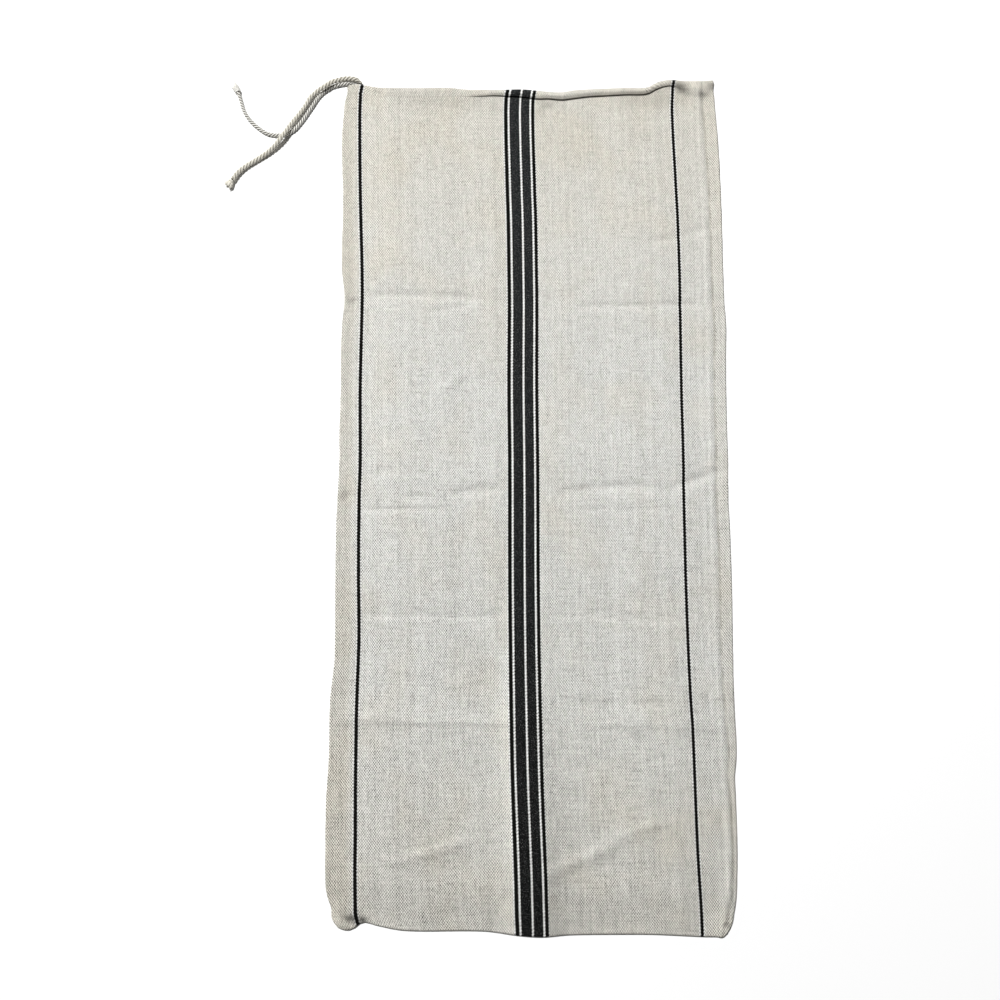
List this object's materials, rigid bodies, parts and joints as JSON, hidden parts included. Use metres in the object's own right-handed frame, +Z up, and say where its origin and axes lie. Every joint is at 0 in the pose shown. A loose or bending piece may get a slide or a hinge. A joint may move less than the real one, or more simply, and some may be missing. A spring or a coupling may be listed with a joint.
{
  "type": "feed sack",
  "caption": "Empty striped grain or feed sack of heavy twill, lying flat, sewn at its sides, hemmed at the mouth, with a twisted tie at one corner.",
  "frame": {"origin": "centre of the sack's underside on the surface it lies on, without the tie", "axes": "+Y along the sack to its mouth, +X to the right seen from above with the mouth away, +Z up"},
  "size_m": [0.6759, 1.143, 0.0147],
  "materials": {
    "sack_twill": "heavy off-white twill with black stripes",
    "tie_yarn": "twisted natural yarn"
  },
  "bodies": {
    "root": {"sack_cloth": "sack_twill", "tie_cord_thick": "tie_yarn", "tie_knot_thick": "tie_yarn", "tie_cord_thin": "tie_yarn", "tie_knot_thin": "tie_yarn"}
  },
  "joints": []
}
